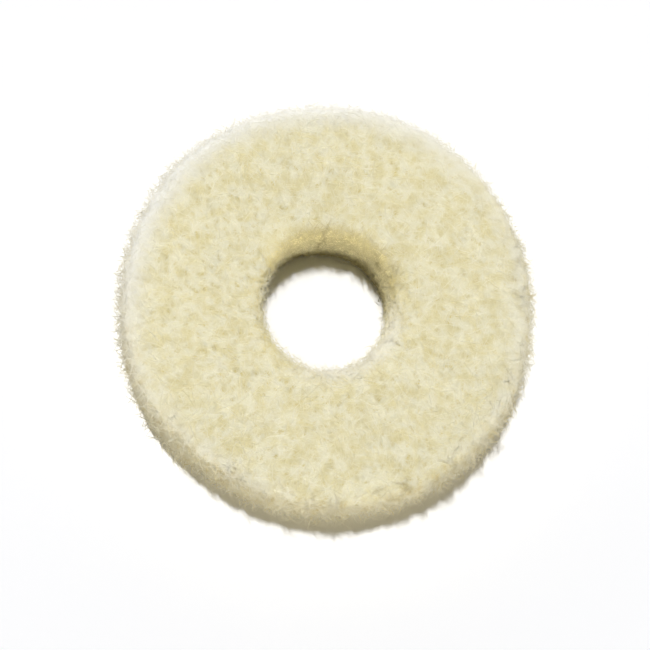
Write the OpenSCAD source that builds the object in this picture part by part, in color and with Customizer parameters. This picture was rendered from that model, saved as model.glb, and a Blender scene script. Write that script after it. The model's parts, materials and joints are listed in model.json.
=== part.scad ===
// Felt polishing wheel: a flat ring of pressed wool felt with a plain bore for the spindle of a polishing machine.
// It lies on its lower face. The origin is the centre of that face, and Z is the spindle's axis.
// The ring is punched out of felt sheet. The punch drags the upper edges down as it goes in, which leaves them
// softly rounded, and it leaves the lower edges, where it comes out, tighter.

/* [Wheel] */
// Outer diameter of the wheel
wheel_d = 25; // [14:0.5:60]
// Thickness of the felt sheet
felt_t = 4; // [2:0.25:12]

/* [Bore] */
// Diameter of the bore, a slip fit on the spindle
bore_d = 8.5; // [3:0.25:18]

/* [Edges] */
// Rounding of the rim's upper edge, where the punch went in
rim_upper_r = 0.45; // [0.1:0.05:1.5]
// Rounding of the rim's lower edge, where the punch came out
rim_lower_r = 0.25; // [0.1:0.05:1.5]
// Rounding of the bore's upper edge, where the punch went in
bore_upper_r = 0.6; // [0.1:0.05:1.5]
// Rounding of the bore's lower edge, where the punch came out
bore_lower_r = 0.25; // [0.1:0.05:1.5]

/* [Hidden] */
wheel_r = wheel_d / 2;
bore_r = bore_d / 2;
wool_cream = [0.898, 0.867, 0.706];
$fn = 96;

// What a rounding takes off a square corner. The corner is at the origin and the felt lies towards +X and +Y.
// The waste reaches one radius past the corner, so that it clears both faces.
module corner_waste(round_r) {
    difference() {
        translate([-round_r, -round_r]) square(2 * round_r);
        translate([round_r, round_r]) circle(round_r);
    }
}

// Half of the ring cut through its axis, with the axis at x = 0: a flat strip with four rounded corners.
module felt_section() {
    difference() {
        translate([bore_r, 0]) square([wheel_r - bore_r, felt_t]);
        translate([bore_r, 0]) corner_waste(bore_lower_r);
        translate([bore_r, felt_t]) mirror([0, 1]) corner_waste(bore_upper_r);
        translate([wheel_r, 0]) mirror([1, 0]) corner_waste(rim_lower_r);
        translate([wheel_r, felt_t]) rotate(180) corner_waste(rim_upper_r);
    }
}

// The wheel itself, one piece of felt.
module felt_wheel() {
    color(wool_cream) rotate_extrude() felt_section();
}

felt_wheel();
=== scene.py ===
"""Dresses a felt polishing wheel: its matted wool body, the fibres on it, and the studio it is seen in."""

import json
import logging
import math
from dataclasses import dataclass, field
from enum import Enum
from functools import cache, partial
from typing import Any, ClassVar

import bpy
from mathutils import Matrix, Vector


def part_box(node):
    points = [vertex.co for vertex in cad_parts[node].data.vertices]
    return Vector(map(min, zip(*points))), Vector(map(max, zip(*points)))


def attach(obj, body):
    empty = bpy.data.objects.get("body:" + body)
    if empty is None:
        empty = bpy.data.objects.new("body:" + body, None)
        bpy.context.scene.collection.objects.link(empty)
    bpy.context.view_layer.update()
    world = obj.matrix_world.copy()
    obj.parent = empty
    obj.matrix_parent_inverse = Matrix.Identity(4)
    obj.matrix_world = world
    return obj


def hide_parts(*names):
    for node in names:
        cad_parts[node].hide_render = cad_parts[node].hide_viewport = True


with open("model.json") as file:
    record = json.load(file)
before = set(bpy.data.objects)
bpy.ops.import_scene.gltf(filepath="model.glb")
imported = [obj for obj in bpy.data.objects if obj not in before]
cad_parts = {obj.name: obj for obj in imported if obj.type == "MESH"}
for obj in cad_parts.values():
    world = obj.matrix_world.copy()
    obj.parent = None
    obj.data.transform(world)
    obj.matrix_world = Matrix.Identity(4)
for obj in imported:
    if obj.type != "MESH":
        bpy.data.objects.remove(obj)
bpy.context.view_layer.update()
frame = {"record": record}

LOG = logging.getLogger("felt_wheel")
MM = 0.001
NODE = "felt_wheel"
BODY = "root"

# The kinds of node that the trees use most
MATH = "ShaderNodeMath"
VECTORS = "ShaderNodeVectorMath"
RAMP = "ShaderNodeMapRange"
MIX = "ShaderNodeMix"
NOISE = "ShaderNodeTexNoise"
STORE = "GeometryNodeStoreNamedAttribute"
RECALL = "GeometryNodeInputNamedAttribute"
RANDOM = "FunctionNodeRandomValue"

# The map that a baked finish is laid out on
BAKE_MAP = "OFBake"

# Values that the felt and its fibres carry: open pits, a painted highlight on the edges that catch the light,
# the hem where hairs stand, where they hang over the bore and jut from the rim, painted bounce light and
# shade on the far wall of the bore, and a fibre's own tint and its depth
PORE = "pore"
PAINTED_HIGHLIGHT = "edge"
FRINGE = "fringe"
OVERHANG = "overhang"
BROW = "brow"
BOUNCE_TINT = "stain"
TINT = "tint"
DEPTH = "depth"


def linear(code: str) -> tuple[float, float, float, float]:
    """Turns an sRGB colour into the linear colour that the shaders work in.

    Args:
        code: Six hex digits after a hash sign, such as "#E5DDB4".

    Returns:
        Linear red, green and blue, and an alpha of 1.
    """
    shares = [int(code[i:i + 2], 16) / 255 for i in (1, 3, 5)]
    light = [s / 12.92 if s <= 0.04045 else ((s + 0.055) / 1.055) ** 2.4 for s in shares]
    return (*light, 1.0)


def add_node(tree: bpy.types.NodeTree, kind: str, inputs: Any = (), **settings: Any) -> bpy.types.Node:
    """Adds a node to a tree, with its settings and its links.

    Args:
        tree: The tree that gets the node.
        kind: Blender's name for the type of node.
        inputs: What goes into its sockets, in their order or by name: a plain value, a socket to link from,
            or a node, which stands for its first output. None leaves a socket as it is.
        **settings: The node's own properties, such as its operation.

    Returns:
        The new node.
    """
    node = tree.nodes.new(kind)
    for name, setting in settings.items():
        setattr(node, name, setting)
    sockets = [socket for socket in node.inputs if socket.enabled]
    by_name = {socket.name: socket for socket in reversed(sockets)}
    for key, value in inputs.items() if isinstance(inputs, dict) else enumerate(inputs):
        socket = by_name[key] if isinstance(key, str) else sockets[key]
        if isinstance(value, bpy.types.Node):
            value = next(output for output in value.outputs if output.enabled)
        if isinstance(value, bpy.types.NodeSocket):
            tree.links.new(value, socket)
        elif value is not None:
            socket.default_value = value
    return node


class Recipe:
    """A Geometry Nodes tree with named inputs, which is run once and leaves a plain mesh."""

    def __init__(self, name: str, inputs: dict[str, str]) -> None:
        """Opens the tree.

        Args:
            name: The tree's name.
            inputs: The kind of each named input: Geometry, Float, Vector, Int, String or Material.
        """
        self.tree = bpy.data.node_groups.new(name, "GeometryNodeTree")
        for label, kind in inputs.items():
            self.tree.interface.new_socket(label, in_out="INPUT", socket_type=f"NodeSocket{kind}")
        self.tree.interface.new_socket("Geometry", in_out="OUTPUT", socket_type="NodeSocketGeometry")
        self.given = add_node(self.tree, "NodeGroupInput").outputs

    def close(self, geometry: bpy.types.Node) -> None:
        """Ends the tree: loose copies become real, and the wool goes on.

        Args:
            geometry: The node that makes the finished shape.
        """
        smooth = add_node(self.tree, "GeometryNodeSetShadeSmooth", (geometry,))
        real = add_node(self.tree, "GeometryNodeRealizeInstances", (smooth,))
        dressed = add_node(self.tree, "GeometryNodeSetMaterial", (real, None, self.given["Wool"]))
        add_node(self.tree, "NodeGroupOutput", (dressed,))

    def run(
        self, piece: str, values: dict[str, Any], ground: bpy.types.Mesh | None = None
    ) -> bpy.types.Object:
        """Runs the tree and keeps what it makes as a plain mesh.

        Args:
            piece: The name of the new piece.
            values: What goes into the named inputs.
            ground: The mesh that goes into the tree's own geometry input, if it has one.

        Returns:
            The new piece, at the origin and with no modifier.
        """
        start = ground.copy() if ground else bpy.data.meshes.new(piece)
        made = bpy.data.objects.new(piece, start)
        bpy.context.scene.collection.objects.link(made)
        modifier = made.modifiers.new("recipe", "NODES")
        modifier.node_group = self.tree
        for item in self.tree.interface.items_tree:
            if item.in_out == "INPUT" and item.name in values:
                modifier[item.identifier] = values[item.name]
        graph = bpy.context.evaluated_depsgraph_get()
        grown = bpy.data.meshes.new_from_object(
            made.evaluated_get(graph), preserve_all_data_layers=True, depsgraph=graph
        )
        made.modifiers.clear()
        made.data = grown
        grown.name = piece
        bpy.data.meshes.remove(start)
        return made


@dataclass(frozen=True)
class PressedFelt:
    """Pressed wool felt, hardened by steam.

    To the eye it is dead matt, because the scaly fibres scatter all the light, and cream, with straw-coloured
    blotches where the wool was less scoured. The pits where the mat is open and the far wall of the bore are
    given a darker straw colour, which is painted shade, and the edges that catch the light a paler one, which
    is a painted highlight.
    """

    wool: str = "#E2DEC4"
    straw: str = "#D9D1A9"
    # Painted shade: the darker straw colour of the pits and of the far wall of the bore
    pit_shade: str = "#D1C590"
    # Painted highlight: the paler colour of the edges that catch the light
    pale: str = "#E4E3DD"
    roughness: tuple[float, float] = (0.85, 1.0)
    gloss: float = 0.2
    blotch_mm: float = 0.7
    patch: tuple[float, float] = (0.40, 0.65)
    # A fibre of 0.03 mm is too fine to show as grain, so the grain is drawn about five fibres coarse
    grain_mm: float = 0.16
    grain_height_mm: float = 0.03
    grain_span: tuple[float, float] = (0.3, 0.7)

    @cache
    def material(self) -> bpy.types.Material:
        """Makes the material: straw-coloured blotches in the cream, painted shade in the pits and on the far
        bore wall, a painted highlight on the lit edges, and a fibrous grain in relief.

        Returns:
            The material, which is made only once.
        """
        material = bpy.data.materials.new("pressed_wool_felt")
        material.use_nodes = True
        tree = material.node_tree
        add = partial(add_node, tree)
        place = add("ShaderNodeTexCoord").outputs["Object"]
        blotches = 1 / (self.blotch_mm * MM)
        blotch = add(NOISE, {"Vector": place, "Scale": blotches, "Detail": 2.0})
        patch = add(RAMP, (blotch, *self.patch))
        cream = add(MIX, (patch, linear(self.wool), linear(self.straw)), data_type="RGBA")
        pore, stain, edge = (
            add("ShaderNodeAttribute", attribute_name=name).outputs["Fac"] for name in (PORE, BOUNCE_TINT, PAINTED_HIGHLIGHT)
        )
        # Painted shade: the pits and the far wall of the bore go darker
        dark = add(MATH, (pore, stain), operation="MAXIMUM")
        pitted = add(MIX, (dark, cream.outputs[2], linear(self.pit_shade)), data_type="RGBA")
        # Painted highlight: the edges that catch the light go paler
        colour = add(MIX, (edge, pitted.outputs[2], linear(self.pale)), data_type="RGBA")
        grain = add(NOISE, {"Vector": place, "Scale": 1 / (self.grain_mm * MM), "Detail": 2.0})
        relief = add("ShaderNodeBump", {"Distance": self.grain_height_mm * MM, "Height": grain})
        dull = add(RAMP, (grain, *self.grain_span, *self.roughness))
        shader = tree.nodes["Principled BSDF"]
        tree.links.new(colour.outputs[2], shader.inputs["Base Color"])
        tree.links.new(dull.outputs[0], shader.inputs["Roughness"])
        tree.links.new(relief.outputs[0], shader.inputs["Normal"])
        shader.inputs["Specular IOR Level"].default_value = self.gloss
        return material


@dataclass(frozen=True)
class WoolFibre:
    """Scoured sheep's wool.

    To the eye the fibres are matt and a little downy, because their scales scatter light. Most are cream,
    whole patches of them are deeper, and a few stand out pale. The edges that catch the light get a painted
    highlight, and the far wall of the bore, which stands in shade, gets painted bounce light and shade.
    """

    name: str
    deep: str
    cream: str
    pale: str
    # Colours of a painted highlight for the lit edges, and of painted bounce light and shade for the far bore
    # wall
    edge: str
    stain: str
    roughness: tuple[float, float] = (0.7, 0.9)
    gloss: float = 0.2
    sheen: float = 0.1
    sheen_roughness: float = 0.5
    blotch_mm: float = 0.7
    patch: tuple[float, float] = (0.40, 0.65)
    fleck_rarity: float = 3.0
    fleck_share: float = 0.5

    @cache
    def material(self) -> bpy.types.Material:
        """Makes the material: blotches that many fibres share, pale single fibres, painted bounce light and
        shade on the far wall of the bore, and a painted highlight on the lit edges.

        Returns:
            The material, which is made only once.
        """
        material = bpy.data.materials.new(self.name)
        material.use_nodes = True
        tree = material.node_tree
        add = partial(add_node, tree)
        place = add("ShaderNodeTexCoord").outputs["Object"]
        tint, stain, edge = (
            add("ShaderNodeAttribute", attribute_name=name).outputs["Fac"] for name in (TINT, BOUNCE_TINT, PAINTED_HIGHLIGHT)
        )
        blotches = 1 / (self.blotch_mm * MM)
        blotch = add(NOISE, {"Vector": place, "Scale": blotches, "Detail": 2.0})
        patch = add(RAMP, (blotch, *self.patch))
        mixed = add(MIX, (patch, linear(self.cream), linear(self.deep)), data_type="RGBA")
        rare = add(MATH, (tint, self.fleck_rarity), operation="POWER")
        lone = add(MATH, (rare, self.fleck_share), operation="MULTIPLY")
        flecked = add(MIX, (lone, mixed.outputs[2], linear(self.pale)), data_type="RGBA")
        # Painted bounce light and shade on the far wall of the bore
        toward_bounce_tint = add(MIX, (stain, flecked.outputs[2], linear(self.stain)), data_type="RGBA")
        # Painted highlight on the edges that catch the light
        colour = add(MIX, (edge, toward_bounce_tint.outputs[2], linear(self.edge)), data_type="RGBA")
        dull = add(RAMP, (tint, 0.0, 1.0, *self.roughness))
        shader = tree.nodes["Principled BSDF"]
        tree.links.new(colour.outputs[2], shader.inputs["Base Color"])
        tree.links.new(dull.outputs[0], shader.inputs["Roughness"])
        shader.inputs["Specular IOR Level"].default_value = self.gloss
        shader.inputs["Sheen Weight"].default_value = self.sheen
        shader.inputs["Sheen Roughness"].default_value = self.sheen_roughness
        return material


@dataclass
class FeltBody:
    """The felt itself: a rounded strip revolved about the spindle's axis, with tufts and pits in it."""

    outer_r: float
    bore_r: float
    thickness: float
    rim_upper_round: float
    rim_lower_round: float
    bore_upper_round: float
    bore_lower_round: float
    finish: PressedFelt = field(default_factory=PressedFelt)
    segments: int = 540
    rings: int = 176
    # Room for the fibres, so that the wheel has the solid's size with them on
    face_coat: float = 0.08 * MM
    rim_coat: float = 0.10 * MM
    bore_coat: float = 0.09 * MM
    # Painted highlight, paler wool on the edges that catch the light: how far it reaches in from the rim and
    # the bore, on which sides, how high, and how strongly
    highlight_rim_reach: float = 1.8 * MM
    highlight_lip_reach: float = 0.9 * MM
    highlight_side: tuple[float, float, float] = (-0.80, 0.60, 0.0)
    highlight_flank: tuple[float, float, float] = (-0.77, -0.64, 0.0)
    highlight_heights: tuple[float, float] = (0.35, 0.8)
    flank_highlight_strength: float = 0.35
    lip_highlight_strength: float = 0.6
    # The side of the bore whose wall gets painted bounce light and shade: the far wall, which stands in shade
    bounce_tint_side: tuple[float, float, float] = (-0.17, 0.98, 0.0)
    # The hem of loose hairs: how far in and how high it lies, and the clumps that it makes on the near rim
    fringe: float = 1.0 * MM
    hem_heights: tuple[float, float] = (0.6, 0.85)
    clump_size: float = 0.5 * MM
    clump_span: tuple[float, float] = (0.48, 0.62)
    # The relief: tufts, pits, a slow sway of the outline, and the fray of the upper corners
    tuft_size: float = 2.2 * MM
    tuft_depth: float = 0.10 * MM
    pit_size: float = 0.36 * MM
    pit_depth: float = 0.035 * MM
    pit_span: tuple[float, float] = (0.52, 0.72)
    sway_size: float = 9.0 * MM
    sway: float = 0.2 * MM
    fray_size: float = 0.28 * MM
    fray: float = 0.6 * MM

    def recipe(self) -> Recipe:
        """Builds the tree that revolves the section and roughens it.

        Returns:
            The tree, ready to run.
        """
        made = Recipe("felt_body", {
            "Outer Radius": "Float", "Bore Radius": "Float", "Thickness": "Float",
            "Rim Upper Round": "Float", "Rim Lower Round": "Float",
            "Bore Upper Round": "Float", "Bore Lower Round": "Float",
            "Face Coat": "Float", "Rim Coat": "Float", "Bore Coat": "Float",
            "Highlight Rim Reach": "Float", "Highlight Lip Reach": "Float", "Highlight Side": "Vector",
            "Highlight Flank": "Vector", "Bounce Tint Side": "Vector", "Fringe": "Float",
            "Segments": "Int", "Rings": "Int",
            "Tuft Size": "Float", "Tuft Depth": "Float", "Pit Size": "Float", "Pit Depth": "Float",
            "Sway Size": "Float", "Sway": "Float", "Fray Size": "Float", "Fray": "Float", "Wool": "Material",
        })
        add, given = partial(add_node, made.tree), made.given
        place = add("GeometryNodeInputPosition")
        axes = add("ShaderNodeSeparateXYZ", (place,))

        # The section: a strip from bore to rim, less the fibre coat, with its own rounding at each corner
        outside = add(MATH, (given["Outer Radius"], given["Rim Coat"]), operation="SUBTRACT")
        inside = add(MATH, (given["Bore Radius"], given["Bore Coat"]), operation="ADD")
        width = add(MATH, (outside, inside), operation="SUBTRACT")
        tall = add(MATH, (given["Face Coat"], -2.0, given["Thickness"]), operation="MULTIPLY_ADD")
        strip = add("GeometryNodeCurvePrimitiveQuadrilateral", {"Width": width, "Height": tall})
        upper = add(MATH, (axes.outputs["Y"], 0.0), operation="GREATER_THAN")
        outer = add(MATH, (axes.outputs["X"], 0.0), operation="GREATER_THAN")
        rim = add(MIX, (upper, given["Rim Lower Round"], given["Rim Upper Round"]))
        bore = add(MIX, (upper, given["Bore Lower Round"], given["Bore Upper Round"]))
        rounding = add(MIX, (outer, bore, rim))
        corners = {"Curve": strip, "Radius": rounding, "Count": 10}
        section = add("GeometryNodeFilletCurve", corners, mode="POLY")
        reach = add(MATH, (outside, inside), operation="ADD")
        middle = add(MATH, (reach, 0.5), operation="MULTIPLY")
        height = add(MATH, (given["Thickness"], 0.5), operation="MULTIPLY")
        centre = add("ShaderNodeCombineXYZ", (middle, height, 0.0))
        placed = add("GeometryNodeTransform", {"Geometry": section, "Translation": centre})

        # The revolve: a flat grid whose width goes round the axis and whose height goes round the section
        around = add(MATH, (given["Segments"], 1.0), operation="ADD")
        along = add(MATH, (given["Rings"], 1.0), operation="ADD")
        grid = add("GeometryNodeMeshGrid", (1.0, 1.0, around, along))
        turn = add(RAMP, (axes.outputs["X"], -0.5, 0.5, 0.0, 2 * math.pi))
        share = add(MATH, (axes.outputs["Y"], 0.5), operation="ADD")
        point = add("GeometryNodeSampleCurve", {"Curves": placed, "Factor": share}, mode="FACTOR")
        spot = add("ShaderNodeSeparateXYZ", (point.outputs["Position"],))
        arm = add("ShaderNodeCombineXYZ", (spot.outputs["X"], 0.0, spot.outputs["Y"]))
        swung = add("ShaderNodeVectorRotate", {"Vector": arm, "Angle": turn}, rotation_type="Z_AXIS")
        mapped = add(STORE, {"Geometry": grid, "Name": BAKE_MAP, "Value": grid.outputs["UV Map"]},
                     data_type="FLOAT2", domain="CORNER")
        ring = add("GeometryNodeSetPosition", {"Geometry": mapped, "Position": swung})
        closed = add("GeometryNodeMergeByDistance", {"Geometry": ring, "Distance": 0.001 * MM})

        # Where a point lies: how far out, how much it faces up, and how far it is to each side, as a cosine
        level = add(VECTORS, (place, (1.0, 1.0, 0.0)), operation="MULTIPLY")
        radius = add(VECTORS, (level,), operation="LENGTH").outputs["Value"]
        out = add(VECTORS, (level,), operation="NORMALIZE")
        normal = add("GeometryNodeInputNormal")
        facing = add("ShaderNodeSeparateXYZ", (normal,)).outputs["Z"]
        side, flank, toward_bounce_tint = (
            add(VECTORS, (out, given[name]), operation="DOT_PRODUCT").outputs["Value"]
            for name in ("Highlight Side", "Highlight Flank", "Bounce Tint Side")
        )
        flanks = add(MATH, (flank,), operation="ABSOLUTE")
        highlight_rim_r = add(MATH, (outside, given["Highlight Rim Reach"]), operation="SUBTRACT")
        highlight_lip_r = add(MATH, (inside, given["Highlight Lip Reach"]), operation="ADD")
        rim_hem_r = add(MATH, (outside, given["Fringe"]), operation="SUBTRACT")
        bore_hem_r = add(MATH, (inside, given["Fringe"]), operation="ADD")
        highlight_low, highlight_high, hem_low, hem_high = (
            add(MATH, (given["Thickness"], share), operation="MULTIPLY")
            for share in (*self.highlight_heights, *self.hem_heights)
        )
        clumps = add(NOISE, {"Vector": place, "Scale": 1 / self.clump_size, "Detail": 0.0})
        pits = add(MATH, (1.0, given["Pit Size"]), operation="DIVIDE")
        pitted = add(NOISE, {"Vector": place, "Scale": pits, "Detail": 1.5})

        # Soft steps: what is measured, where it starts and where it ends. They go from 0 to 1 unless two more
        # numbers follow
        steps = {
            "by the rim": (radius, highlight_rim_r, outside),
            "by the lip": (radius, highlight_lip_r, inside),
            "rim hem": (radius, rim_hem_r, outside),
            "bore hem": (radius, bore_hem_r, inside),
            "upper wall": (axes.outputs["Z"], highlight_low, highlight_high),
            "upper corner": (axes.outputs["Z"], hem_low, hem_high),
            "highlit side": (side, -0.4, 1.0),
            "highlit lip": (side, -0.3, -0.9, 0.0, self.lip_highlight_strength),
            "near side": (side, 0.1, -0.4),
            "flanks": (flanks, 0.3, 0.8),
            "flank top": (facing, 0.1, 0.7, 0.0, self.flank_highlight_strength),
            "bounce tint side": (toward_bounce_tint, 0.2, 0.8),
            "other sides": (toward_bounce_tint, 0.5, -0.1),
            "clumps": (clumps, *self.clump_span),
            "pits": (pitted, *self.pit_span),
        }
        soft = {name: add(RAMP, step, interpolation_type="SMOOTHSTEP") for name, step in steps.items()}

        # What the felt carries on its surface: products of those steps
        # Painted highlight: on the rim's side toward the key lamp, on the flanks' upper rounding, and on the
        # near lip of the bore, which faces the key
        flanked = add(MATH, (soft["flanks"], soft["flank top"]), operation="MULTIPLY")
        highlit_sides = add(MATH, (soft["highlit side"], flanked), operation="MAXIMUM")
        rim_highlight = add(MATH, (soft["by the rim"], highlit_sides), operation="MULTIPLY")
        lip_highlight = add(MATH, (soft["by the lip"], soft["highlit lip"]), operation="MULTIPLY")
        either = add(MATH, (rim_highlight, lip_highlight), operation="MAXIMUM")
        upward = add(RAMP, (facing, -0.4, 0.3))
        hem = add(MATH, (soft["rim hem"], soft["bore hem"]), operation="MAXIMUM")
        clumped = add(MATH, (soft["upper corner"], soft["clumps"]), operation="MULTIPLY")
        carried = {
            # Painted highlight: paler on the lit edges, high on the wall and on faces that turn up
            PAINTED_HIGHLIGHT: (either, upward, soft["upper wall"]),
            FRINGE: (hem, soft["upper corner"]),
            OVERHANG: (soft["bore hem"], soft["upper corner"], soft["other sides"]),
            BROW: (soft["rim hem"], clumped, soft["near side"]),
            # Painted bounce light and shade: the far wall of the bore, which stands in shade
            BOUNCE_TINT: (soft["bore hem"], soft["bounce tint side"]),
            PORE: (soft["pits"],),
        }
        marked = closed
        for name, (value, *factors) in carried.items():
            for factor in factors:
                value = add(MATH, (value, factor), operation="MULTIPLY")
            marked = add(STORE, {"Geometry": marked, "Name": name, "Value": value},
                         data_type="FLOAT", domain="POINT")

        # The relief: a slow sway of the outline, tufts, pits where the mat is open, and frayed upper corners
        tufts = add(MATH, (1.0, given["Tuft Size"]), operation="DIVIDE")
        tufted = add(NOISE, {"Vector": place, "Scale": tufts, "Detail": 2.0})
        swell = add(MATH, (tufted, 0.5), operation="SUBTRACT")
        raised = add(MATH, (swell, given["Tuft Depth"]), operation="MULTIPLY")
        sunk = add(MATH, (soft["pits"], given["Pit Depth"]), operation="MULTIPLY")
        relief = add(MATH, (raised, sunk), operation="SUBTRACT")
        lift = add(VECTORS, {"Vector": normal, "Scale": relief}, operation="SCALE")
        sways = add(MATH, (1.0, given["Sway Size"]), operation="DIVIDE")
        swayed = add(NOISE, {"Vector": place, "Scale": sways, "Detail": 0.0})
        swing = add(RAMP, (swayed, 0.3, 0.7, -1.0, 1.0))
        drift = add(MATH, (swing, given["Sway"]), operation="MULTIPLY")
        frays = add(MATH, (1.0, given["Fray Size"]), operation="DIVIDE")
        ragged = add(NOISE, {"Vector": place, "Scale": frays, "Detail": 1.0})
        rags = add(MATH, (ragged, 0.5), operation="SUBTRACT")
        torn = add(MATH, (rags, given["Fray"]), operation="MULTIPLY")
        drift = add(MATH, (torn, hem, drift), operation="MULTIPLY_ADD")
        shove = add(VECTORS, {"Vector": out, "Scale": drift}, operation="SCALE")
        moved = add(VECTORS, (lift, shove), operation="ADD")
        rough = add("GeometryNodeSetPosition", {"Geometry": marked, "Offset": moved})

        # The lower face lies on the bench, so nothing of it hangs lower
        rested = add(VECTORS, (place, (-1.0, -1.0, 0.0)), operation="MAXIMUM")
        made.close(add("GeometryNodeSetPosition", {"Geometry": rough, "Position": rested}))
        return made

    def build(self) -> bpy.types.Object:
        """Runs the tree.

        Returns:
            The felt as one closed mesh.
        """
        return self.recipe().run("felt_body", {
            "Outer Radius": self.outer_r, "Bore Radius": self.bore_r, "Thickness": self.thickness,
            "Rim Upper Round": self.rim_upper_round, "Rim Lower Round": self.rim_lower_round,
            "Bore Upper Round": self.bore_upper_round, "Bore Lower Round": self.bore_lower_round,
            "Face Coat": self.face_coat, "Rim Coat": self.rim_coat, "Bore Coat": self.bore_coat,
            "Highlight Rim Reach": self.highlight_rim_reach, "Highlight Lip Reach": self.highlight_lip_reach,
            "Highlight Side": self.highlight_side, "Highlight Flank": self.highlight_flank,
            "Bounce Tint Side": self.bounce_tint_side, "Fringe": self.fringe,
            "Segments": self.segments, "Rings": self.rings,
            "Tuft Size": self.tuft_size, "Tuft Depth": self.tuft_depth,
            "Pit Size": self.pit_size, "Pit Depth": self.pit_depth,
            "Sway Size": self.sway_size, "Sway": self.sway, "Fray Size": self.fray_size, "Fray": self.fray,
            "Wool": self.finish.material(),
        })


class Region(Enum):
    """A stretch of the felt: the least and most that its normal points up, and its side of the middle."""

    UPPER_FACE = (0.4, 2.0, 0)
    RIM = (-0.75, 0.75, 1)
    BORE = (-0.75, 0.75, -1)
    LOWER_FACE = (-2.0, -0.4, 0)
    RIM_CORNER = (-0.3, 2.0, 1)
    BORE_CORNER = (-0.3, 2.0, -1)


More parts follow.
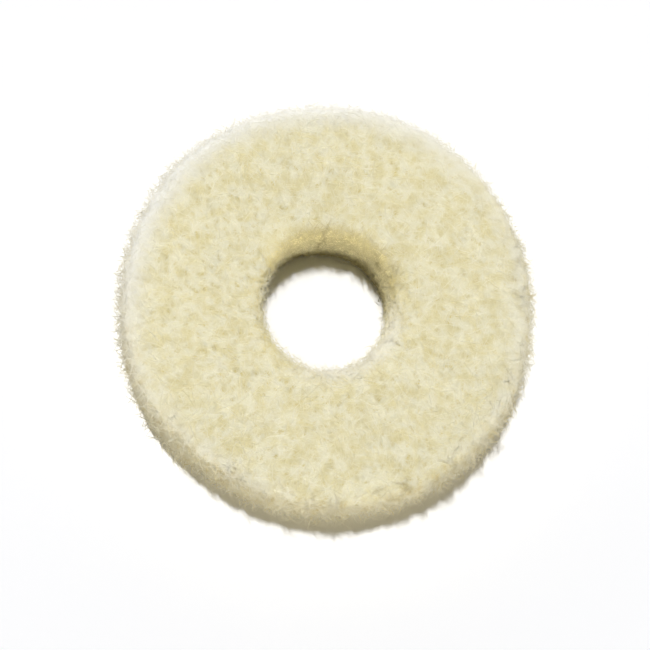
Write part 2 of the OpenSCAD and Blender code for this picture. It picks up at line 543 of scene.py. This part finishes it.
@dataclass
class FibreCoat:
    """One coat of wool fibres over a region of the felt.

    Each fibre is a three-sided strand with pointed ends, near wool's own thickness. Only a lock is thicker,
    because it stands for several fibres.
    """

    # How every strand runs: how long its bends and ripples are, how late a loose end climbs, how few of them
    # climb high, and how blunt the ends are
    bend_size: ClassVar[float] = 1.6 * MM
    ripple_size: ClassVar[float] = 0.7 * MM
    climb_power: ClassVar[float] = 1.6
    rarity: ClassVar[float] = 2.0
    end_power: ClassVar[float] = 0.35
    # The share of the felt's height at which the sky starts to open to a fibre, and at which it is open
    sky_heights: ClassVar[tuple[float, float]] = (0.5, 0.85)
    # The part of its cell on the bake map that a strand fills
    cell_fill: ClassVar[tuple[float, float]] = (0.1, 0.9)

    name: str
    region: Region
    finish: WoolFibre
    per_mm2: float
    length: tuple[float, float]
    seed: int
    thickness: float = 0.03 * MM
    # How deep the ends sink, and how far a strand arches, rises to its loose end, weaves and wanders
    sink: float = 0.02 * MM
    arch: float = 0.10 * MM
    rise: float = 0.0
    weave: float = 0.06 * MM
    wander: float = 0.5 * MM
    # How far it keeps out of pits, the value on the felt that limits it, and how little it follows the felt
    shy_of_pits: float = 0.7
    only_where: str = ""
    stiffness: float = 0.0
    # How far a strand is shaded as the felt under it faces, and how far that shading turns to the sky
    glow: float = 0.0
    uplift: float = 0.0
    steps: int = 4
    casts_shadow: bool = False

    @classmethod
    def recipe(cls) -> Recipe:
        """Builds the tree that scatters fibres over the felt, bends them and lays them against it.

        Returns:
            The tree, which all the coats share.
        """
        made = Recipe("fibre_coat", {
            "Felt": "Geometry", "Facing Low": "Float", "Facing High": "Float",
            "Side": "Float", "Middle Radius": "Float",
            "Density": "Float", "Shy Of Pits": "Float", "Only Where": "String", "Limited": "Float",
            "Shortest": "Float", "Longest": "Float", "Stiffness": "Float",
            "Thickness": "Float", "Sink": "Float", "Arch": "Float", "Rise": "Float", "Weave": "Float",
            "Wander": "Float", "Glow": "Float", "Uplift": "Float",
            "Steps": "Int", "Seed": "Int", "Wool": "Material",
        })
        add, given = partial(add_node, made.tree), made.given
        felt, seed = given["Felt"], given["Seed"]
        place = add("GeometryNodeInputPosition")
        normal = add("GeometryNodeInputNormal")

        # Roots: spread over the region, and sparse where the felt has pits
        facing = add("ShaderNodeSeparateXYZ", (normal,)).outputs["Z"]
        level = add(VECTORS, (place, (1.0, 1.0, 0.0)), operation="MULTIPLY")
        radius = add(VECTORS, (level,), operation="LENGTH").outputs["Value"]
        beyond = add(MATH, (radius, given["Middle Radius"]), operation="SUBTRACT")
        sided = add(MATH, (beyond, given["Side"]), operation="MULTIPLY")
        tests = [
            add(MATH, (facing, given["Facing Low"]), operation="GREATER_THAN"),
            add(MATH, (facing, given["Facing High"]), operation="LESS_THAN"),
            add(MATH, (sided, -0.001 * MM), operation="GREATER_THAN"),
        ]
        density = given["Density"]
        for test in tests:
            density = add(MATH, (density, test), operation="MULTIPLY")
        pore = add(RECALL, {"Name": PORE}, data_type="FLOAT")
        shy = add(MATH, (pore, given["Shy Of Pits"]), operation="MULTIPLY")
        share = add(MATH, (1.0, shy), operation="SUBTRACT")
        density = add(MATH, (density, share), operation="MULTIPLY")
        limit = add(RECALL, {"Name": given["Only Where"]}, data_type="FLOAT")
        share = add(MIX, (given["Limited"], 1.0, limit))
        density = add(MATH, (density, share), operation="MULTIPLY")
        roots = add("GeometryNodeDistributePointsOnFaces", {"Mesh": felt, "Density": density, "Seed": seed})
        tinted = add(STORE, {"Geometry": roots, "Name": TINT, "Value": add(RANDOM, {"Seed": seed})},
                     data_type="FLOAT", domain="POINT")
        seeds = [add(MATH, (seed, float(step)), operation="ADD") for step in range(1, 5)]
        buried = add(RANDOM, {"Seed": seeds[0]})
        ranked = add(STORE, {"Geometry": tinted, "Name": DEPTH, "Value": buried},
                     data_type="FLOAT", domain="POINT")

        # Strands: straight lines that touch the felt at their middle and point any way along it
        spin = add(RANDOM, {"Max": 2 * math.pi, "Seed": seeds[1]})
        about = add("FunctionNodeAxisAngleToRotation", ((0.0, 0.0, 1.0), spin))
        laid = add("FunctionNodeRotateRotation", (roots.outputs["Rotation"], about), rotation_space="LOCAL")
        length = add(RANDOM, {"Min": given["Shortest"], "Max": given["Longest"], "Seed": seeds[2]})
        line = add("GeometryNodeCurvePrimitiveLine", ((-0.5, 0.0, 0.0), (0.5, 0.0, 0.0)))
        stops = add(MATH, (given["Steps"], 1.0), operation="ADD")
        strand = add("GeometryNodeResampleCurve", {"Curve": line, "Count": stops})
        scattered = add("GeometryNodeInstanceOnPoints",
                        {"Points": ranked, "Instance": strand, "Rotation": laid, "Scale": length})
        strands = add("GeometryNodeRealizeInstances", (scattered,))
        along = add("GeometryNodeSplineParameter").outputs["Factor"]
        which = add("GeometryNodeCurveOfPoint").outputs["Curve Index"]
        shift = add(RANDOM, {"Min": (-1.0,) * 3, "Max": (1.0,) * 3, "ID": which, "Seed": seeds[3]},
                    data_type="FLOAT_VECTOR")
        apart = add(VECTORS, (place, shift), operation="ADD")
        bend = add(NOISE, {"Vector": apart, "Scale": 1 / cls.bend_size, "Detail": 1.0})
        sideways = add(VECTORS, (bend.outputs["Color"], (0.5, 0.5, 0.5)), operation="SUBTRACT")
        strayed = add(VECTORS, {"Vector": sideways, "Scale": given["Wander"]}, operation="SCALE")
        curved = add("GeometryNodeSetPosition", {"Geometry": strands, "Offset": strayed})

        # Height over the felt: ends sunk in, an arch between them, a rise to the loose end, and a weave
        felt_place, felt_normal = (
            add("GeometryNodeSampleNearestSurface", {"Mesh": felt, "Value": value}, data_type="FLOAT_VECTOR")
            for value in (place, normal)
        )
        rest = add(MATH, (1.0, along), operation="SUBTRACT")
        bow = add(MATH, (along, rest), operation="MULTIPLY")
        full_bow = add(MATH, (bow, 4.0), operation="MULTIPLY")
        depth = add(RECALL, {"Name": DEPTH}, data_type="FLOAT")
        top = add(MATH, (1.0, depth), operation="SUBTRACT")
        arched = add(MATH, (full_bow, given["Arch"]), operation="MULTIPLY")
        hump = add(MATH, (arched, top), operation="MULTIPLY")
        climb = add(MATH, (along, cls.climb_power), operation="POWER")
        loose = add(MATH, (climb, given["Rise"]), operation="MULTIPLY")
        few = add(MATH, (top, cls.rarity), operation="POWER")
        risen = add(MATH, (loose, few), operation="MULTIPLY")
        ripple = add(NOISE, {"Vector": apart, "Scale": 1 / cls.ripple_size, "Detail": 0.0})
        centred = add(MATH, (ripple, 0.5), operation="SUBTRACT")
        woven = add(MATH, (centred, given["Weave"]), operation="MULTIPLY")
        base = add(MATH, (woven, given["Sink"]), operation="SUBTRACT")
        height = add(MATH, (base, hump), operation="ADD")
        height = add(MATH, (height, risen), operation="ADD")
        off = add(VECTORS, {"Vector": felt_normal, "Scale": height}, operation="SCALE")
        held = add(MIX, {"Factor": given["Stiffness"], "A": felt_place, "B": place}, data_type="VECTOR")
        on = add(VECTORS, (held, off), operation="ADD")
        half = add(MATH, (given["Thickness"], 0.5), operation="MULTIPLY")
        lowest = add("ShaderNodeCombineXYZ", (-1.0, -1.0, half))
        kept = add(VECTORS, (on, lowest), operation="MAXIMUM")
        hugging = add("GeometryNodeSetPosition", {"Geometry": curved, "Position": kept})

        # Each strand has its own cell on the bake map
        count = add("GeometryNodeAttributeDomainSize", (hugging,), component="CURVE").outputs["Spline Count"]
        root = add(MATH, (count,), operation="SQRT")
        cells = add(MATH, (root,), operation="CEIL")
        row = add(MATH, (which, cells), operation="DIVIDE")
        row = add(MATH, (row,), operation="FLOOR")
        column = add(MATH, (which, cells), operation="MODULO")
        up = add(RAMP, (along, 0.0, 1.0, *cls.cell_fill))
        v_cell = add(MATH, (row, up), operation="ADD")
        v_map = add(MATH, (v_cell, cells), operation="DIVIDE")
        u_map = add(MATH, (column, cells), operation="DIVIDE")
        cell = add(MATH, (1.0, cells), operation="DIVIDE")
        corner = add("ShaderNodeCombineXYZ", (u_map, v_map, cell))
        noted = add(STORE, {"Geometry": hugging, "Name": "cell", "Value": corner},
                    data_type="FLOAT_VECTOR", domain="POINT")

        # The way the felt faces at each strand's foot, turned up where the sky is open
        ceiling = add("ShaderNodeSeparateXYZ", (add("GeometryNodeBoundBox", (felt,)).outputs["Max"],))
        stand = add("ShaderNodeSeparateXYZ", (felt_place,))
        storey = add(MATH, (stand.outputs["Z"], ceiling.outputs["Z"]), operation="DIVIDE")
        open_sky = add(RAMP, (storey, *cls.sky_heights), interpolation_type="SMOOTHSTEP")
        lifted = add(MATH, (given["Uplift"], open_sky), operation="MULTIPLY")
        tilted = add(MIX, {"Factor": lifted, "A": felt_normal, "B": (0.0, 0.0, 1.0)}, data_type="VECTOR")
        lie = add(VECTORS, (tilted,), operation="NORMALIZE")
        noted = add(STORE, {"Geometry": noted, "Name": "lie", "Value": lie},
                    data_type="FLOAT_VECTOR", domain="POINT")

        # The tube tapers to a point at both ends
        taper = add(MATH, (full_bow, cls.end_power), operation="POWER")
        girth = add(MATH, (taper, half), operation="MULTIPLY")
        outline = add("GeometryNodeCurvePrimitiveCircle", {"Resolution": 3, "Radius": 1.0})
        side = add(MATH, (add("GeometryNodeInputIndex"), 0.5), operation="MULTIPLY")
        sided = add(STORE, {"Geometry": outline, "Name": "side", "Value": side},
                    data_type="FLOAT", domain="POINT")
        tubes = add("GeometryNodeCurveToMesh", {"Curve": noted, "Profile Curve": sided, "Scale": girth})
        saved = add(RECALL, {"Name": "cell"}, data_type="FLOAT_VECTOR")
        parts = add("ShaderNodeSeparateXYZ", (saved,)).outputs
        flank = add(RECALL, {"Name": "side"}, data_type="FLOAT")
        across = add(RAMP, (flank, 0.0, 1.0, *cls.cell_fill))
        within = add(MATH, (across, parts["Z"]), operation="MULTIPLY")
        u_full = add(MATH, (parts["X"], within), operation="ADD")
        spot = add("ShaderNodeCombineXYZ", (u_full, parts["Y"], 0.0))
        mapped = add(STORE, {"Geometry": tubes, "Name": BAKE_MAP, "Value": spot},
                     data_type="FLOAT2", domain="CORNER")
        merged = add("GeometryNodeMergeByDistance", {"Geometry": mapped, "Distance": 1e-5 * MM})

        # Light soaks through a fibre, so it is shaded less by its own roundness than by the felt under it
        under = add(RECALL, {"Name": "lie"}, data_type="FLOAT_VECTOR")
        turned = add(MIX, {"Factor": given["Glow"], "A": normal, "B": under}, data_type="VECTOR")
        shaded = add("GeometryNodeSetMeshNormal", {"Mesh": merged, "Custom Normal": turned}, mode="FREE",
                     domain="POINT")
        for spare in ("cell", "side", "lie"):
            shaded = add("GeometryNodeRemoveAttribute", {"Geometry": shaded, "Name": spare})
        made.close(shaded)
        return made

    def build(self, recipe: Recipe, felt: bpy.types.Mesh, middle_r: float) -> bpy.types.Object:
        """Grows the coat on the felt.

        Args:
            recipe: The tree, which all the coats share.
            felt: The felt's own mesh.
            middle_r: Radius of the middle of the felt strip.

        Returns:
            All its fibres as one mesh.
        """
        facing_low, facing_high, side = self.region.value
        coat = recipe.run(self.name, {
            "Facing Low": facing_low, "Facing High": facing_high, "Side": float(side),
            "Middle Radius": middle_r, "Density": self.per_mm2 / MM ** 2, "Shy Of Pits": self.shy_of_pits,
            "Only Where": self.only_where, "Limited": float(bool(self.only_where)),
            "Shortest": self.length[0], "Longest": self.length[1], "Stiffness": self.stiffness,
            "Thickness": self.thickness, "Sink": self.sink, "Arch": self.arch, "Rise": self.rise,
            "Weave": self.weave, "Wander": self.wander, "Glow": self.glow, "Uplift": self.uplift,
            "Steps": self.steps, "Seed": self.seed, "Wool": self.finish.material(),
        }, felt)
        # Light goes through a matted wool fibre, so it leaves no shadow on its neighbours
        coat.visible_shadow = self.casts_shadow
        return coat


@dataclass
class FeltWheel:
    """The wheel: the felt body and every coat of fibres on it, all one piece of wool."""

    rim_upper_round: float = 0.45 * MM
    rim_lower_round: float = 0.25 * MM
    # Fibres fill part of the lip's rounding, so the felt under them has only this share of it
    lip_share: float = 0.6

    def body(self) -> FeltBody:
        """Takes the felt's sizes from the frame: its box, and the straight part of its bore.

        Returns:
            The felt, not built yet.
        """
        low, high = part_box(NODE)
        bore = next(mount for mount in frame["record"]["mounts"] if mount["name"] == "bore")
        wall, middle = bore["dims"]["length_mm"] * MM, bore["pos_m"][2]
        return FeltBody(
            outer_r=(high[0] - low[0]) / 2, bore_r=bore["dims"]["r_mm"] * MM, thickness=high[2] - low[2],
            rim_upper_round=self.rim_upper_round, rim_lower_round=self.rim_lower_round,
            bore_upper_round=(high[2] - middle - wall / 2) * self.lip_share,
            bore_lower_round=middle - wall / 2 - low[2],
        )

    def coats(self) -> list[FibreCoat]:
        """Lists the coats, from the matted ones to the loose ones.

        Returns:
            Every coat, not grown yet.
        """
        # The pressed face is an even cream. The cut rim shows straw-coloured patches, and its yellower tone
        # is partly painted shade, for the rim stands mostly in shade. The bore is yellowest, which is painted
        # shade and bounce light of the shaded bore. Loose fibres, which light goes through, are clearer than
        # the mat that they leave.
        # Each wool also has a colour for painted bounce light and shade on the far bore wall, and one for a
        # painted highlight on the lit edges
        matted = WoolFibre("matted_wool", deep="#DBD4AF", cream="#E2DEC7", pale="#F4F2E6", edge="#E0DED3",
                           stain="#C3B788")
        rim = WoolFibre("rim_wool", deep="#CCBA80", cream="#E8E1BE", pale="#F0ECD8", edge="#E6E5DF",
                        stain="#CCBA80", patch=(0.5, 0.66))
        rim_loose = WoolFibre("loose_rim_wool", deep="#CDBE88", cream="#E3DCBE", pale="#EEEADA",
                              edge="#ECEBE6", stain="#CDBE88", patch=(0.5, 0.66))
        bore = WoolFibre("bore_wool", deep="#D2C27A", cream="#E2D9B2", pale="#E6DCB2", edge="#E6E3D8",
                         stain="#EADEA8")
        bore_loose = WoolFibre("loose_bore_wool", deep="#D8CA8C", cream="#E2DAB6", pale="#E8E0BC",
                               edge="#EEEBE2", stain="#C3B788")
        loose = WoolFibre("loose_wool", deep="#D8D1AE", cream="#DED9C2", pale="#ECEADE", edge="#E6E4DA",
                          stain="#C6BA8C")
        upper = [
            FibreCoat(f"upper_mat_{n}", Region.UPPER_FACE, matted, 19.0, (0.4 * MM, 1.3 * MM), seed=10 * n,
                      shy_of_pits=0.6)
            for n in range(1, 4)
        ]
        down = partial(FibreCoat, length=(0.3 * MM, 0.8 * MM), thickness=0.02 * MM, weave=0.2 * MM,
                       wander=0.3 * MM, steps=3, glow=0.8, uplift=0.2)
        wisps = partial(FibreCoat, length=(0.5 * MM, 1.4 * MM), thickness=0.028 * MM, weave=0.3 * MM,
                        wander=0.8 * MM, rise=0.8 * MM, stiffness=1.0, casts_shadow=True, glow=0.8,
                        uplift=0.5)
        hairs = partial(FibreCoat, length=(0.5 * MM, 1.6 * MM), thickness=0.018 * MM, weave=0.3 * MM,
                        wander=0.8 * MM, rise=0.8 * MM, stiffness=1.0, glow=0.8, uplift=0.6)
        stray = partial(FibreCoat, length=(0.5 * MM, 1.6 * MM), thickness=0.028 * MM, weave=0.3 * MM,
                        wander=0.9 * MM, steps=4, glow=0.8, uplift=0.4)
        return [
            *upper,
            FibreCoat("rim_mat", Region.RIM, rim, 40.0, (0.4 * MM, 1.3 * MM), seed=200, arch=0.2 * MM,
                      steps=3, glow=0.7),
            FibreCoat("bore_mat", Region.BORE, bore, 60.0, (0.4 * MM, 1.2 * MM), seed=210, arch=0.15 * MM,
                      glow=0.7),
            FibreCoat("lower_mat", Region.LOWER_FACE, matted, 14.0, (0.4 * MM, 1.4 * MM), seed=220),
            FibreCoat("upper_locks", Region.UPPER_FACE, matted, 5.0, (1.0 * MM, 2.2 * MM), seed=230,
                      thickness=0.05 * MM, arch=0.14 * MM, wander=0.9 * MM, steps=6),
            down("rim_down", Region.RIM, rim_loose, 40.0, seed=240, rise=0.5 * MM),
            down("bore_down", Region.BORE, bore_loose, 70.0, seed=250, rise=0.4 * MM),
            hairs("rim_hairs", Region.RIM_CORNER, loose, 45.0, seed=260, only_where=FRINGE, uplift=0.3),
            hairs("bore_hairs", Region.BORE_CORNER, bore_loose, 40.0, seed=300, only_where=FRINGE),
            hairs("lip_hairs", Region.BORE_CORNER, loose, 90.0, seed=330, only_where=OVERHANG, uplift=0.9),
            wisps("rim_wisps", Region.RIM_CORNER, rim_loose, 60.0, seed=310, only_where=BROW, rise=0.7 * MM),
            wisps("bore_wisps", Region.BORE_CORNER, bore_loose, 18.0, seed=320, only_where=FRINGE),
            stray("rim_strays", Region.RIM, rim_loose, 30.0, seed=270, rise=1.1 * MM, uplift=0.6),
            stray("bore_strays", Region.BORE, bore_loose, 8.0, seed=280, rise=0.7 * MM, casts_shadow=True,
                  uplift=0.0),
            stray("upper_strays", Region.UPPER_FACE, matted, 6.0, seed=290, rise=0.3 * MM),
        ]

    def build(self) -> list[bpy.types.Object]:
        """Makes the felt, then grows each coat on it.

        Returns:
            Every piece, the felt first.
        """
        body = self.body()
        felt = body.build()
        recipe = FibreCoat.recipe()
        middle_r = (body.outer_r + body.bore_r) / 2
        return [felt, *(coat.build(recipe, felt.data, middle_r) for coat in self.coats())]

    def seat(self, pieces: list[bpy.types.Object]) -> None:
        """Puts the pieces on the frame in place of the plain solid.

        Args:
            pieces: Every piece, the felt first.
        """
        for piece in pieces:
            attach(piece, BODY)
        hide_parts(NODE)


@dataclass(frozen=True)
class Lamp:
    """A lamp: where it hangs as seen from the wheel, how wide and tall it looks, and the light it gives.

    The light of a lamp with a beam goes straight ahead, in a slab as wide and tall as the lamp itself.
    """

    name: str
    from_deg: float
    elevation_deg: float
    wide_deg: float
    tall_deg: float
    level: float
    colour: str = "#FFFFFF"
    beam_deg: float = 0.0
    aimed: tuple[float, float, float] | None = None
    distance: float = 0.6

    def hang(self, target: Vector) -> None:
        """Hangs the lamp.

        Args:
            target: The point that it shines on, unless it is aimed at one of its own. A white surface there
                that faces it gets `level` of full white.
        """
        target = Vector(self.aimed) if self.aimed else target
        way, rise = math.radians(self.from_deg), math.radians(self.elevation_deg)
        towards = Vector((math.cos(way) * math.cos(rise), math.sin(way) * math.cos(rise), math.sin(rise)))
        wide, tall = (
            2 * self.distance * math.tan(math.radians(size) / 2) for size in (self.wide_deg, self.tall_deg)
        )
        lamp = bpy.data.lights.new(self.name, "AREA")
        lamp.shape = "RECTANGLE"
        lamp.size, lamp.size_y = wide, tall
        if self.beam_deg:
            lamp.spread = math.radians(self.beam_deg)
            lamp.energy = self.level * math.pi * wide * tall
        else:
            lamp.energy = self.level * (math.pi * self.distance) ** 2
        lamp.color = linear(self.colour)[:3]
        hung = bpy.data.objects.new(self.name, lamp)
        hung.matrix_world = Matrix.Translation(target + towards * self.distance) @ (
            towards.to_track_quat("Z", "Y").to_matrix().to_4x4()
        )
        hung.visible_camera = False
        bpy.context.scene.collection.objects.link(hung)


@dataclass
class Studio:
    """A pale floor under soft light, and the camera."""

    elevation_deg: float = 74.0
    roll_deg: float = 24.0
    lens_mm: float = 190.0
    distance: float = 211.0 * MM
    aim: tuple[float, float, float] = (0.45 * MM, -0.765 * MM, 2.0 * MM)
    # The small high key gives the short crisp shadow. The low lamps light the rim and hardly touch the floor.
    # Two beams stand in for the light that comes through the felt to the walls of the bore
    lamps: tuple[Lamp, ...] = (
        Lamp("key", from_deg=130.0, elevation_deg=74.0, wide_deg=1.5, tall_deg=5.5, level=0.797,
             distance=2.0),
        Lamp("front", from_deg=-60.0, elevation_deg=3.0, wide_deg=100.0, tall_deg=5.5, level=0.91,
             colour="#FFFAEE"),
        Lamp("bore", from_deg=-65.0, elevation_deg=25.0, wide_deg=4.0, tall_deg=1.3, level=0.54,
             beam_deg=1.0, aimed=(-1.8 * MM, 3.85 * MM, 2.6 * MM), distance=0.1),
        Lamp("bore side", from_deg=200.0, elevation_deg=25.0, wide_deg=3.0, tall_deg=1.3, level=0.34,
             beam_deg=1.0, aimed=(3.85 * MM, 1.8 * MM, 2.1 * MM), distance=0.1),
        Lamp("left", from_deg=170.0, elevation_deg=2.0, wide_deg=50.0, tall_deg=3.5, level=0.2),
        Lamp("right", from_deg=60.0, elevation_deg=2.0, wide_deg=50.0, tall_deg=3.5, level=0.26),
        Lamp("back", from_deg=120.0, elevation_deg=12.0, wide_deg=90.0, tall_deg=12.0, level=0.25),
    )
    fill_strength: float = 0.005
    fill_colour: str = "#FFF6E3"
    floor_reach: float = 2.0
    # The floor's light on the wheel is that of white paper, and the floor itself is seen as clean white
    floor_colour: tuple[float, float, float] = (0.90, 0.88, 0.82)
    floor_seen: tuple[float, float, float] = (1.175, 1.18, 1.20)

    def camera(self) -> None:
        """Sets the camera at the photograph's angle, tilted as it was held."""
        tilt, roll = math.radians(self.elevation_deg), math.radians(self.roll_deg)
        back = Vector((0.0, -math.cos(tilt), math.sin(tilt)))
        across, rising = Vector((1.0, 0.0, 0.0)), Vector((0.0, math.sin(tilt), math.cos(tilt)))
        right = across * math.cos(roll) + rising * math.sin(roll)
        up = rising * math.cos(roll) - across * math.sin(roll)
        lens = bpy.data.cameras.new("camera")
        lens.lens = self.lens_mm
        lens.clip_start = self.distance / 10
        view = bpy.data.objects.new("camera", lens)
        turn = Matrix((right, up, back)).transposed().to_4x4()
        view.matrix_world = Matrix.Translation(Vector(self.aim) + back * self.distance) @ turn
        bpy.context.scene.collection.objects.link(view)
        bpy.context.scene.camera = view

    def lights(self) -> None:
        """Hangs the lamps, and fills the shadows from a pale room."""
        for lamp in self.lamps:
            lamp.hang(Vector(self.aim))
        world = bpy.data.worlds.new("room")
        world.use_nodes = True
        add = partial(add_node, world.node_tree)
        strength = add(RAMP, (self.seen(world.node_tree), 0.0, 1.0, self.fill_strength, 1.0))
        sky = world.node_tree.nodes["Background"]
        sky.inputs["Color"].default_value = linear(self.fill_colour)
        world.node_tree.links.new(strength.outputs[0], sky.inputs["Strength"])
        bpy.context.scene.world = world

    @staticmethod
    def seen(tree: bpy.types.NodeTree) -> bpy.types.Node:
        """Adds the test for a surface that is looked at, straight on or in a reflection or through glass.

        Args:
            tree: The material's or the world's tree.

        Returns:
            A node that gives 1 where it is seen and 0 where it only lights something.
        """
        path = add_node(tree, "ShaderNodeLightPath").outputs
        seen = path["Is Camera Ray"]
        for way in ("Is Glossy Ray", "Is Transmission Ray"):
            seen = add_node(tree, MATH, (seen, path[way]), operation="MAXIMUM")
        return seen

    def floor(self) -> None:
        """Lays a white floor that shows the wheel's shadow and can be looked through from below."""
        reach = self.floor_reach
        mesh = bpy.data.meshes.new("floor")
        mesh.from_pydata([(-reach, -reach, 0), (reach, -reach, 0), (reach, reach, 0), (-reach, reach, 0)], [],
                         [(0, 1, 2, 3)])
        sheet = bpy.data.objects.new("floor", mesh)
        bpy.context.scene.collection.objects.link(sheet)
        paper = bpy.data.materials.new("white_paper")
        paper.use_nodes = True
        tree = paper.node_tree
        add = partial(add_node, tree)
        tree.nodes.remove(tree.nodes["Principled BSDF"])
        lit, shown = (*self.floor_colour, 1.0), (*self.floor_seen, 1.0)
        white = add(MIX, (self.seen(tree), lit, shown), data_type="RGBA")
        matt = add("ShaderNodeBsdfDiffuse", (white,))
        under = add("ShaderNodeNewGeometry").outputs["Backfacing"]
        surface = add("ShaderNodeMixShader", (under, matt, add("ShaderNodeBsdfTransparent")))
        tree.links.new(surface.outputs[0], tree.nodes["Material Output"].inputs["Surface"])
        mesh.materials.append(paper)

    def build(self) -> None:
        """Sets up the view, the light and the floor."""
        bpy.context.scene.view_settings.view_transform = "Standard"
        self.camera()
        self.lights()
        self.floor()


def main() -> None:
    """Builds the studio and the wheel."""
    logging.basicConfig(level=logging.INFO, format="%(name)s: %(message)s")
    Studio().build()
    wheel = FeltWheel()
    pieces = wheel.build()
    wheel.seat(pieces)
    for piece in pieces:
        LOG.info("%s has %d triangles", piece.name, sum(len(p.vertices) - 2 for p in piece.data.polygons))


if __name__ == "__main__":
    main()
